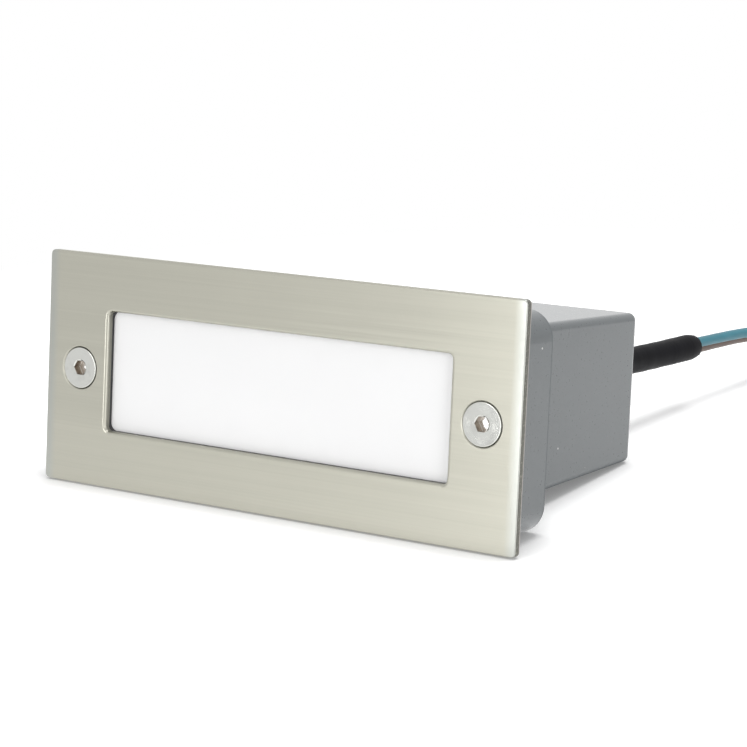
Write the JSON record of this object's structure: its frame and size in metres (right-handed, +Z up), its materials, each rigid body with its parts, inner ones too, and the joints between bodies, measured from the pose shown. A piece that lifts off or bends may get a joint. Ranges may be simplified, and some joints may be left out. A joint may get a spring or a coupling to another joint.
{
  "type": "recessed step light",
  "caption": "Rectangular recessed LED step light: brushed faceplate with an opal window and countersunk hex screws on a grey cast housing, with a sleeved twin-lead supply tail.",
  "frame": {"origin": "centre of the plane where the faceplate's rim gasket meets the wall face", "axes": "+Y into the wall recess, the light shines towards -Y, +Z up, +X to the right as seen from in front"},
  "size_m": [0.12, 0.211, 0.05],
  "materials": {
    "brushed_faceplate": "fine horizontal brushed grain, satin",
    "screw_steel": "turned stainless steel, bright",
    "housing_grey": "matt grey powder coat on a die casting",
    "opal_lens": "opal white, smooth",
    "black_gasket": "matt silicone",
    "grey_gasket": "matt foam rubber",
    "white_tray": "matt white, diffuse",
    "carrier_aluminium": "milled sheet",
    "board_white": "white solder mask",
    "led_phosphor": "yellow phosphor in a white package",
    "pad_grey": "soft thermal pad",
    "board_green": "green solder mask on glass laminate",
    "ferrite": "sintered, dark grey",
    "winding_tape": "yellow film tape",
    "capacitor_sleeve": "shrunk black sleeve",
    "film_capacitor": "moulded yellow box",
    "component_black": "moulded black epoxy",
    "resistor_body": "lacquered ceramic",
    "terminal_green": "moulded polyamide",
    "insert_brass": "turned, knurled",
    "small_screw_zinc": "zinc plated",
    "sleeve_black": "shrunk black sleeve, slightly shiny",
    "lead_blue": "blue lead insulation",
    "lead_brown": "brown lead insulation",
    "wire_red": "red wire insulation",
    "wire_black": "black wire insulation",
    "tinned_copper": "tinned strands"
  },
  "bodies": {
    "housing": {"threaded_inserts": "insert_brass", "housing_casting": "housing_grey", "opal_lens": "opal_lens", "lens_gasket": "black_gasket", "reflector_tray": "white_tray", "led_carrier": "carrier_aluminium", "thermal_pad": "pad_grey", "led_board": "board_white", "led_packages": "led_phosphor", "led_board_screws": "small_screw_zinc", "carrier_screws": "small_screw_zinc", "driver_board": "board_green", "transformer_core": "ferrite", "transformer_winding": "winding_tape", "input_capacitor": "capacitor_sleeve", "output_capacitor": "capacitor_sleeve", "output_choke": "ferrite", "bridge_rectifier": "component_black", "film_capacitor": "film_capacitor", "driver_chip": "component_black", "fuse_resistor": "resistor_body", "input_terminal": "terminal_green", "engine_wire_red": "wire_red", "engine_wire_black": "wire_black", "cable_grommet": "black_gasket", "cable_sleeve": "sleeve_black", "blue_lead": "lead_blue", "brown_lead": "lead_brown", "tinned_ends": "tinned_copper"},
    "front_cover": {"faceplate": "brushed_faceplate", "rim_gasket": "grey_gasket"},
    "left_cover_screw": {"left_screw": "screw_steel"},
    "right_cover_screw": {"right_screw": "screw_steel"}
  },
  "joints": [
    {"name": "faceplate_lift", "type": "slide", "parent": "housing", "child": "front_cover", "axis": [0, -1, 0], "range_m": [0, 0.04]},
    {"name": "left_screw_travel", "type": "slide", "parent": "front_cover", "child": "left_cover_screw", "axis": [0, -1, 0], "range_m": [0, 0.012]},
    {"name": "right_screw_travel", "type": "slide", "parent": "front_cover", "child": "right_cover_screw", "axis": [0, -1, 0], "range_m": [0, 0.012]}
  ]
}
